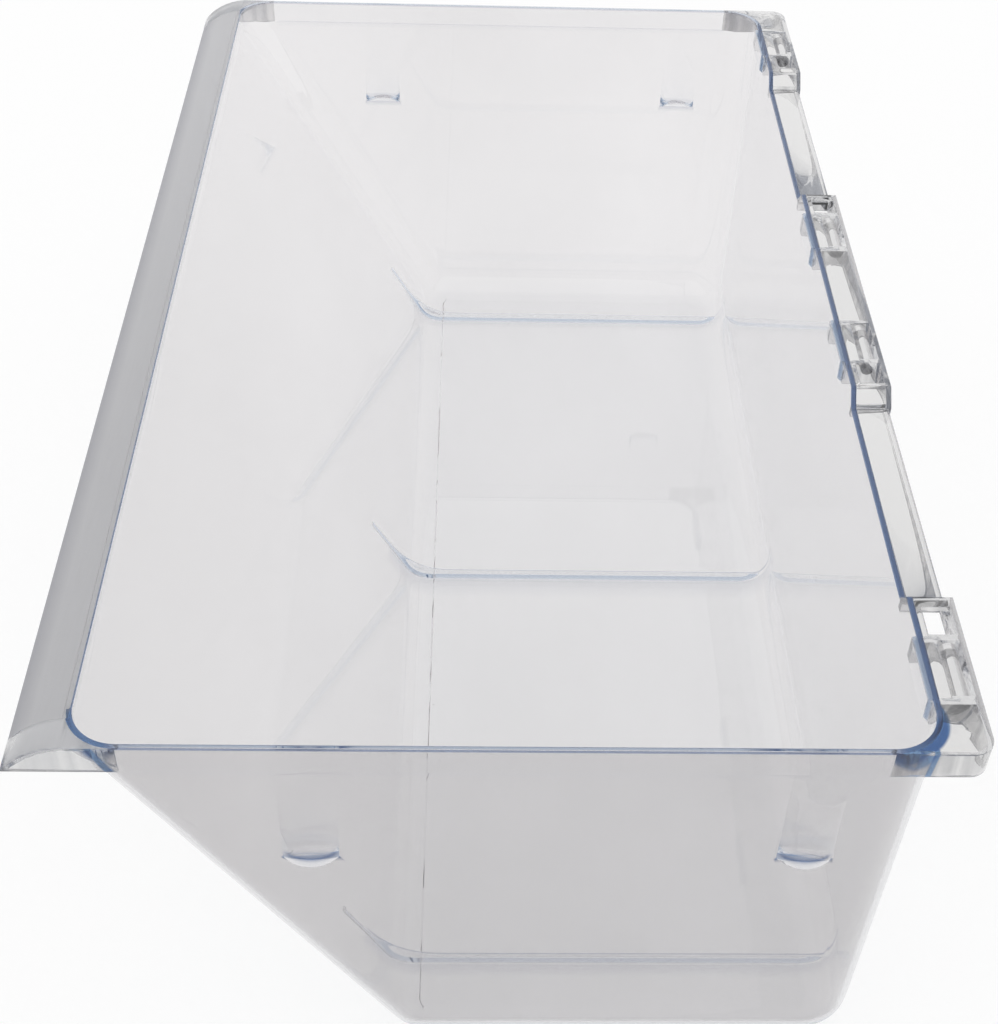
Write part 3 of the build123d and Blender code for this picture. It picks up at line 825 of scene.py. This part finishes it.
def moulded_group():
    """Clear moulded plastic: a grey with painted shade that deepens it towards the near end, painted shade in
    broad soft patches, soft flow mottling along the mould's filling direction, hairline scratches and sparse
    dust."""
    nodes, given, out = new_group(
        "moulded_plastic",
        {"Colour": (0.9, 0.9, 0.9, 1), "Near Shade": 0.1, "Mottle": 0.03, "Haze": 0.13,
         "Roughness": 0.01, "Scratches": 0.02, "Dust": 0.3},
        {"Colour": "Color", "Roughness": "Float", "Height": "Float"})
    place = nodes.here()
    # painted shade: the grey darkens towards the near end
    nearness = nodes.ramp(nodes.axes(place)[1], 0.12, -0.23)
    shade = nodes.minus(1.0, nodes.times(nearness, given["Near Shade"]))
    long_way = nodes.mapped(place, Scale=(1.0, 0.35, 1.0))
    flow = nodes.noise(long_way, 26.0, 3.0, 0.55)
    mottle = nodes.times(nodes.minus(flow, 0.5), given["Mottle"])
    # painted shade: broad soft patches of darker and lighter grey
    shade_clouds = nodes.noise(nodes.mapped(place, Location=(0.3, 0.1, 0.2), Scale=(1.0, 0.5, 0.8)), 9.0)
    painted_shade = nodes.times(nodes.minus(shade_clouds, 0.5), given["Haze"])
    level = nodes.plus(nodes.plus(shade, mottle), painted_shade)
    # dust: a dot in a few of the cells, picked at random
    specks = nodes.add("TexVoronoi", {"Vector": place, "Scale": 90.0, "Randomness": 1.0}, feature="F1").outputs
    chance = nodes.add("TexWhiteNoise", {"Vector": specks["Position"]}, noise_dimensions="3D").outputs["Value"]
    dot = nodes.ramp(specks["Distance"], 0.05, 0.02)
    dust = nodes.times(nodes.times(dot, nodes.ramp(chance, 0.965, 0.97)), given["Dust"])
    level = nodes.times(level, nodes.minus(1.0, dust))
    nodes.put(out["Colour"], nodes.scaled(given["Colour"], level))
    # hairlines: thin bands where a stretched noise crosses its middle
    hair = nodes.noise(nodes.mapped(place, Rotation=(0.3, 0.2, 0.6), Scale=(14.0, 220.0, 60.0)), 1.0, 1.0)
    hair = nodes.ramp(nodes.math("ABSOLUTE", nodes.minus(hair, 0.5)), 0.012, 0.0)
    patches = nodes.ramp(nodes.noise(place, 16.0), 0.52, 0.66)
    hair = nodes.times(nodes.times(hair, patches), given["Scratches"])
    fine = nodes.times(nodes.noise(place, 45.0, 3.0), given["Roughness"])
    nodes.put(out["Roughness"], nodes.plus(fine, hair))
    ripple = nodes.noise(long_way, 55.0, 1.0)
    nodes.put(out["Height"], nodes.minus(nodes.times(ripple, 0.5), hair))
    return nodes.tree


def frost_group():
    """Spark-textured frosting, drawn out along the lip: a fine grain with longer brushed streaks. Painted light
    brightens it towards the far end, and painted shade darkens it at the lip's free edge."""
    nodes, given, out = new_group(
        "frost_grain",
        {"Colour": (0.475, 0.475, 0.49, 1), "Edge Colour": (0.33, 0.33, 0.36, 1), "Grain": 0.12,
         "Roughness": 0.42},
        {"Colour": "Color", "Roughness": "Float", "Height": "Float"})
    place = nodes.here()
    axes = nodes.axes(place)
    streaks = nodes.noise(nodes.mapped(place, Scale=(1.0, 0.08, 1.0)), 900.0, 2.0, 0.6)
    grain = nodes.noise(place, 1500.0, 2.0, 0.6)
    both = nodes.plus(nodes.times(streaks, 0.6), nodes.times(grain, 0.4))
    # painted light: brighter towards the far end
    painted_far_light = nodes.ramp(axes[1], -0.1, 0.2, 1.0, 1.16)
    swing = nodes.times(nodes.minus(both, 0.5), given["Grain"])
    # painted shade: darker at the lip's free edge
    outer = nodes.ramp(axes[0], -0.1290, -0.1362)
    colour = nodes.blend(outer, given["Colour"], given["Edge Colour"])
    nodes.put(out["Colour"], nodes.scaled(colour, nodes.plus(swing, painted_far_light)))
    nodes.put(out["Roughness"], nodes.plus(nodes.times(both, 0.12), given["Roughness"]))
    nodes.put(out["Height"], both)
    return nodes.tree


def streaked_group():
    """Painted shade: darker vertical streaks down upright walls, from a noise stretched along Z."""
    nodes, given, out = new_group("wall_streaks", {"Low": 0.35, "High": 0.62}, {"Mask": "Float"})
    streaks = nodes.noise(nodes.mapped(nodes.here(), Scale=(1.0, 1.0, 0.06)), 260.0)
    nodes.put(out["Mask"], nodes.ramp(streaks, given["Low"], given["High"]))
    return nodes.tree


MOULDED = moulded_group()
FROST = frost_group()
SHADE_STREAKS = streaked_group()


def new_material(name, transmission):
    """A new plastic's material, nodes, Principled shader and output sockets."""
    m = bpy.data.materials.new(name)
    m.use_nodes = True
    shader = m.node_tree.nodes["Principled BSDF"]
    shader.inputs["IOR"].default_value = PLASTIC_IOR
    shader.inputs["Transmission Weight"].default_value = transmission
    return m, Nodes(m.node_tree), shader, m.node_tree.nodes["Material Output"].inputs


def plastic(name, colour, near_shade, absorb, density, glow_near, glow_far, painted_edge_colour=None,
            pool_colour=None, upright=None, frost=None, painted_blue_balls=(), painted_blue_streaks=()):
    """Clear plastic: moulding detail, and a body colour that only long paths through it show. The edge mask's
    colour paints dark blue light-piping and dark lines, the pool mask's a blue glow for deep rays, the upright
    colour paints shade in streaks on upright faces, frost covers level faces, and blue balls (centre, radius)
    and streaks (x, slant, half width) paint light-piping blue at their own places."""
    m, nodes, shader, out = new_material(name, 1.0)
    group = nodes.add("Group", node_tree=MOULDED)
    group.inputs["Colour"].default_value = colour
    group.inputs["Near Shade"].default_value = near_shade
    tint, rough, height = group.outputs["Colour"], group.outputs["Roughness"], group.outputs["Height"]
    facing = nodes.axes(nodes.here("Normal"))[2]
    # painted dark blue light-piping and dark lines, by the edge mask
    if painted_edge_colour:
        edge = nodes.add("Attribute", attribute_name="edge").outputs["Fac"]
        tint = nodes.blend(edge, tint, painted_edge_colour)
    # painted shade: darker streaks on upright faces
    if upright:
        across = nodes.ramp(nodes.math("ABSOLUTE", facing), 0.5, 0.15)
        streaks = nodes.add("Group", node_tree=SHADE_STREAKS)
        tint = nodes.blend(nodes.times(across, streaks.outputs["Mask"]), tint, upright)
    place = nodes.here()
    axes = nodes.axes(place)
    # painted light-piping blue in balls and slanted streaks at given places
    for centre, radius in painted_blue_balls:
        away = nodes.add("VectorMath", {0: place, 1: centre}, operation="DISTANCE").outputs["Value"]
        tint = nodes.blend(nodes.ramp(away, radius, radius - 0.0008), tint, PAINTED_CORNER_BLUE)
    for x, slant, half in painted_blue_streaks:
        run = nodes.times(nodes.minus(RIM_Z, axes[2]), slant)
        off = nodes.math("ABSOLUTE", nodes.minus(nodes.minus(axes[0], x), run))
        front = nodes.math("LESS_THAN", axes[1], FRONT_Y)
        tint = nodes.blend(nodes.times(nodes.ramp(off, half, half * 0.6), front), tint, PAINTED_CORNER_BLUE)
    if frost:
        top = nodes.ramp(facing, 0.55, 0.75)
        grain = nodes.add("Group", node_tree=FROST)
        grain.inputs["Colour"].default_value = frost
        grain.inputs["Edge Colour"].default_value = frost
        tint = nodes.blend(top, tint, grain.outputs["Colour"])
        rough = nodes.plus(rough, nodes.times(top, nodes.times(grain.outputs["Roughness"], 0.6)))
    nodes.put(shader.inputs["Base Color"], tint)
    nodes.put(shader.inputs["Roughness"], rough)
    bump = nodes.add("Bump", {"Strength": 0.25, "Distance": 0.00002, "Height": height})
    nodes.put(shader.inputs["Normal"], bump.outputs[0])
    paint_deep_ray_glow(nodes, shader, out["Surface"], glow_near, glow_far, pool_colour)
    volume = nodes.add("VolumeAbsorption", {"Color": absorb, "Density": density})
    nodes.put(out["Volume"], volume.outputs[0])
    return m


def frosted_plastic(name):
    """The frosted grip: three tenths see-through, with the grain's colour, roughness and bump."""
    m, nodes, shader, out = new_material(name, 0.3)
    grain = nodes.add("Group", node_tree=FROST)
    nodes.put(shader.inputs["Base Color"], grain.outputs["Colour"])
    nodes.put(shader.inputs["Roughness"], grain.outputs["Roughness"])
    bump = nodes.add("Bump", {"Strength": 0.35, "Distance": 0.00004, "Height": grain.outputs["Height"]})
    nodes.put(shader.inputs["Normal"], bump.outputs[0])
    # painted glow for deep rays in the frosted grip
    paint_deep_ray_glow(nodes, shader, out["Surface"], (0.5, 0.52, 0.55, 1), (0.7, 0.7, 0.72, 1))
    return m


def paint_deep_ray_glow(nodes, shader, surface, glow_near, glow_far, pool_colour=None):
    """A painted glow: light that has bounced more than DEEP_RAYS times is taken as trapped and shows an
    emission, from glow_near at the near end to glow_far at the far end, or pool_colour by its mask. Shadow and
    diffuse rays pass almost freely."""
    far = nodes.ramp(nodes.axes(nodes.here())[1], -0.21, 0.2)
    colour = nodes.blend(far, glow_near, glow_far)
    if pool_colour:
        colour = nodes.blend(nodes.add("Attribute", attribute_name="pool").outputs["Fac"], colour, pool_colour)
    path = nodes.add("LightPath").outputs
    trapped = nodes.math("GREATER_THAN", path["Ray Depth"], DEEP_RAYS)
    glow = nodes.add("Emission", {"Color": colour})
    body = nodes.add("MixShader", {0: trapped, 1: shader.outputs[0], 2: glow.outputs[0]})
    passing = nodes.math("MAXIMUM", path["Is Shadow Ray"], path["Is Diffuse Ray"])
    clear = nodes.add("BsdfTransparent", {"Color": SHADOW_TINT})
    nodes.put(surface, nodes.add("MixShader", {0: passing, 1: body.outputs[0], 2: clear.outputs[0]}).outputs[0])


def seen_directly(nodes):
    """1 for rays that should show the plain background: from the camera, off gloss or through glass."""
    path = nodes.add("LightPath").outputs
    either = nodes.math("MAXIMUM", path["Is Camera Ray"], path["Is Glossy Ray"])
    return nodes.math("MAXIMUM", either, path["Is Transmission Ray"])


def make_camera():
    """A camera at the photograph's angle; its tilt is yaw about Z, then pitch, then roll."""
    data = bpy.data.cameras.new("camera")
    camera = bpy.data.objects.new("camera", data)
    bpy.context.scene.collection.objects.link(camera)
    tilt = (Matrix.Rotation(CAMERA_YAW, 4, "Z") @ Matrix.Rotation(math.pi / 2 - CAMERA_PITCH, 4, "X")
            @ Matrix.Rotation(-CAMERA_ROLL, 4, "Z"))
    camera.matrix_world = Matrix.Translation(CAMERA_PLACE) @ tilt
    data.sensor_width = SENSOR
    data.lens = FOCAL_PIXELS / LONG_SIDE_PIXELS * SENSOR
    data.shift_x = -CENTRE_SHIFT_PIXELS / LONG_SIDE_PIXELS
    data.clip_start = 0.01
    bpy.context.scene.camera = camera


def make_world():
    """Plain white light from all sides."""
    world = bpy.data.worlds.new("studio")
    bpy.context.scene.world = world
    world.use_nodes = True
    background = world.node_tree.nodes["Background"]
    background.inputs["Color"].default_value = (1, 1, 1, 1)
    background.inputs["Strength"].default_value = 1.0
    world.cycles.sampling_method = "NONE"


def make_floor():
    """A plain pale floor. What is seen of it directly is part white light, part its own shaded surface."""
    size, level = 4.0, -0.0003
    mesh = bpy.data.meshes.new("floor")
    mesh.from_pydata([(-size, -size, level), (size, -size, level), (size, size, level), (-size, size, level)],
                     [], [(0, 1, 2, 3)])
    floor = bpy.data.objects.new("floor", mesh)
    bpy.context.scene.collection.objects.link(floor)
    m = bpy.data.materials.new("floor")
    m.use_nodes = True
    nodes = Nodes(m.node_tree)
    shader = m.node_tree.nodes["Principled BSDF"]
    shader.inputs["Base Color"].default_value = (0.98, 0.98, 0.98, 1)
    shader.inputs["Roughness"].default_value = 1.0
    shader.inputs["Specular IOR Level"].default_value = 0.0
    white = nodes.add("Emission", {"Color": (1, 1, 1, 1)})
    share = nodes.times(seen_directly(nodes), FLOOR_WHITE)
    both = nodes.add("MixShader", {0: share, 1: shader.outputs[0], 2: white.outputs[0]})
    nodes.put(m.node_tree.nodes["Material Output"].inputs["Surface"], both.outputs[0])
    mesh.materials.append(m)


make_camera()
make_world()
make_floor()
tub_clear = plastic("tub_clear", (0.857, 0.842, 0.845, 1), 0.12, (0.50, 0.60, 0.72, 1), 22.0,
                    (0.78, 0.79, 0.82, 1), (0.95, 0.95, 0.96, 1), painted_edge_colour=(0.025, 0.075, 0.22, 1),
                    pool_colour=(0.04, 0.11, 0.28, 1))
# rail and trim: a darker grey and a dimmer glow than the tub's, painted shade, with painted shade streaks on
# upright faces and painted blue at the near corners
rail_clear = plastic("rail_clear", (0.80, 0.795, 0.79, 1), 0.08, (0.55, 0.57, 0.62, 1), 22.0,
                     (0.40, 0.41, 0.44, 1), (0.55, 0.56, 0.58, 1), upright=(0.42, 0.42, 0.43, 1),
                     painted_blue_balls=(((0.1120, -0.2148, RIM_Z), 0.0136),), painted_blue_streaks=((0.1195, -0.12, 0.0011),))
trim_clear = plastic("trim_clear", (0.84, 0.835, 0.83, 1), 0.10, (0.55, 0.60, 0.68, 1), 22.0,
                     (0.40, 0.43, 0.48, 1), (0.6, 0.6, 0.62, 1), upright=(0.6, 0.6, 0.61, 1),
                     frost=(0.52, 0.52, 0.535, 1), painted_blue_balls=(((-0.1068, -0.2140, RIM_Z), 0.0134),),
                     painted_blue_streaks=((-0.1112, 0.5, 0.0016),))
frosted = frosted_plastic("frosted_grip")
points, quads, masks, level = build()
make_piece("tub_look", points, quads, tub_clear, "drawer_tub", "clear_tub", masks, level)
make_piece("grip_lip_look", *grip_lip(), frosted, "grip_lip", "frosted_grip")
make_piece("grip_rim_frost", *rim_strip(), frosted, "drawer_tub", "frosted_grip")
for place, start in zip(("near", "middle_near", "middle_far", "far"), STATION_STARTS):
    make_piece(place + "_bar_look", *clip_bar(start), rail_clear, place + "_clip_bar", "clear_rail")
for node in ("near_clip_block", "middle_clip_block", "far_clip_block", "near_low_flange", "far_low_flange"):
    rounded_copy(node, rail_clear, "clear_rail")
for node in ("near_grip_end_cap", "far_grip_end_cap"):
    rounded_copy(node, trim_clear, "clear_trim")

scene = bpy.context.scene
scene.view_settings.view_transform = "Standard"
scene.cycles.max_bounces = 16
scene.cycles.transmission_bounces = 16
scene.cycles.glossy_bounces = 16
scene.cycles.transparent_max_bounces = 32
